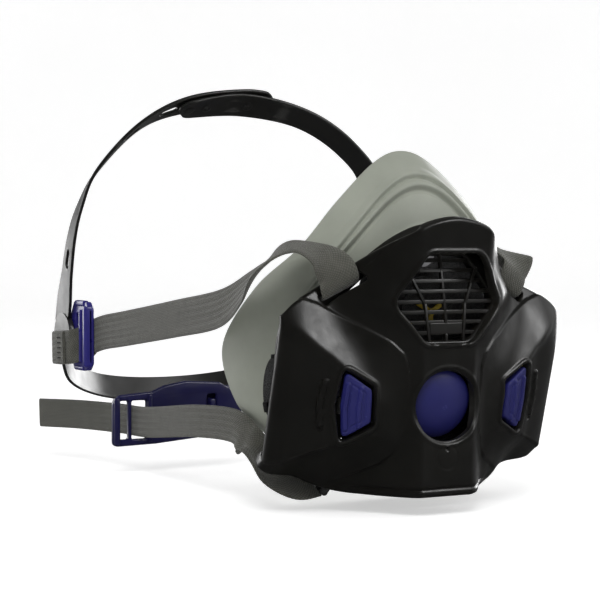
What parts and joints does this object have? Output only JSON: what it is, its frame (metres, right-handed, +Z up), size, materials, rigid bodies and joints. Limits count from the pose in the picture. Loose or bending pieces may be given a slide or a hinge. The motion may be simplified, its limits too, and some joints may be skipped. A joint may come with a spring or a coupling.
{
  "type": "half mask respirator",
  "caption": "Reusable half-face respirator with side filter ports, front exhaust grille, seal-check button, release buttons and an adjustable head and neck harness.",
  "frame": {"origin": "centre of the face opening, on the plane of symmetry", "axes": "+Z up as worn, +Y from the mask's front towards the wearer's head, so the mask looks along -Y, and +X towards the right of a viewer who faces the mask"},
  "size_m": [0.1443, 0.2648, 0.1646],
  "materials": {
    "shell_plastic": "satin moulded, warm black",
    "silicone": "matt moulded silicone, warm grey",
    "spring_steel": "plain bright steel",
    "valve_rubber": "matt yellow valve rubber",
    "gasket_rubber": "matt dark rubber",
    "diaphragm_film": "thin shiny film",
    "blue_plastic": "matt moulded, dark blue",
    "webbing": "woven elastic webbing, grey",
    "cradle_plastic": "satin flexible plastic, dark grey",
    "inner_plastic": "matt moulded, dark grey"
  },
  "bodies": {
    "mask": {"front_shell": "shell_plastic", "exhaust_grille": "shell_plastic", "rear_housing": "shell_plastic", "inner_frame": "inner_plastic", "face_seal": "silicone", "frame_screws": "spring_steel", "neck_strap_bars": "inner_plastic", "exhaust_valve_seat": "inner_plastic", "flap_retainer": "valve_rubber", "exhaust_seat_gasket": "gasket_rubber", "speech_diaphragm": "diaphragm_film", "diaphragm_ring": "inner_plastic", "seal_check_spring": "spring_steel", "port_collar_left": "inner_plastic", "port_collar_right": "inner_plastic", "port_gasket_left": "gasket_rubber", "port_gasket_right": "gasket_rubber", "release_spring_left": "spring_steel", "release_spring_right": "spring_steel"},
    "exhaust_valve": {"exhaust_flap": "gasket_rubber"},
    "inhalation_valve_left": {"inhalation_flap_left": "valve_rubber"},
    "inhalation_valve_right": {"inhalation_flap_right": "valve_rubber"},
    "seal_check": {"seal_check_button": "blue_plastic", "seal_check_shutter": "inner_plastic"},
    "release_left": {"release_button_left": "blue_plastic", "latch_hook_left": "inner_plastic"},
    "release_right": {"release_button_right": "blue_plastic", "latch_hook_right": "inner_plastic"},
    "head_straps": {"head_strap_left": "webbing", "head_strap_right": "webbing", "head_buckle_left": "blue_plastic", "head_buckle_right": "blue_plastic"},
    "cradle": {"crown_band_left": "cradle_plastic", "crown_band_right": "cradle_plastic", "nape_band": "cradle_plastic", "cradle_hub_left": "cradle_plastic", "cradle_hub_right": "cradle_plastic", "cradle_pegs": "cradle_plastic"},
    "neck_strap_left": {"neck_strap_left": "webbing"},
    "neck_strap_right": {"neck_strap_right": "webbing", "neck_loop": "blue_plastic"},
    "neck_hook": {"neck_hook_plate": "blue_plastic"}
  },
  "joints": [
    {"name": "seal_check_press", "type": "slide", "parent": "mask", "child": "seal_check", "axis": [0, 0.9703, 0.2419], "range_m": [0, 0.004], "stiffness_N_per_m": 400, "springref_m": -0.001, "deforming": ["seal_check_spring"]},
    {"name": "release_left_press", "type": "slide", "parent": "mask", "child": "release_left", "axis": [0, 1, 0], "range_m": [0, 0.002], "stiffness_N_per_m": 900, "springref_m": -0.001, "deforming": ["release_spring_left"]},
    {"name": "release_right_press", "type": "slide", "parent": "mask", "child": "release_right", "axis": [0, 1, 0], "range_m": [0, 0.002], "stiffness_N_per_m": 900, "springref_m": -0.001, "deforming": ["release_spring_right"]},
    {"name": "exhaust_flap_lift", "type": "slide", "parent": "mask", "child": "exhaust_valve", "axis": [0, -1, 0], "range_m": [0, 0.0012]},
    {"name": "inhalation_left_hinge", "type": "hinge", "parent": "mask", "child": "inhalation_valve_left", "pos_m": [-0.04548, -0.03503, -0.0098], "axis": [-0.7071, -0.7071, 0], "range_deg": [0, 20]},
    {"name": "inhalation_right_hinge", "type": "hinge", "parent": "mask", "child": "inhalation_valve_right", "pos_m": [0.04548, -0.03503, -0.0098], "axis": [-0.7071, 0.7071, 0], "range_deg": [0, 20]},
    {"name": "head_strap_swing", "type": "hinge", "parent": "mask", "child": "head_straps", "pos_m": [0, -0.0488, 0.02], "axis": [1, 0, 0], "range_deg": [-2, 6]},
    {"name": "cradle_tilt", "type": "hinge", "parent": "head_straps", "child": "cradle", "pos_m": [0, 0.148, -0.007], "axis": [1, 0, 0], "range_deg": [-20, 20]},
    {"name": "neck_swing_left", "type": "hinge", "parent": "mask", "child": "neck_strap_left", "pos_m": [0, -0.0261, -0.0545], "axis": [1, 0, 0], "range_deg": [-8, 2]},
    {"name": "neck_swing_right", "type": "hinge", "parent": "mask", "child": "neck_strap_right", "pos_m": [0, -0.0261, -0.0545], "axis": [1, 0, 0], "range_deg": [-8, 2]},
    {"name": "neck_hook_slide", "type": "slide", "parent": "neck_strap_left", "child": "neck_hook", "axis": [0, -1, 0], "range_m": [0, 0.01]}
  ],
  "couplings": [
    {"joint": "neck_swing_right", "follows": "neck_swing_left", "ratio": 1}
  ]
}
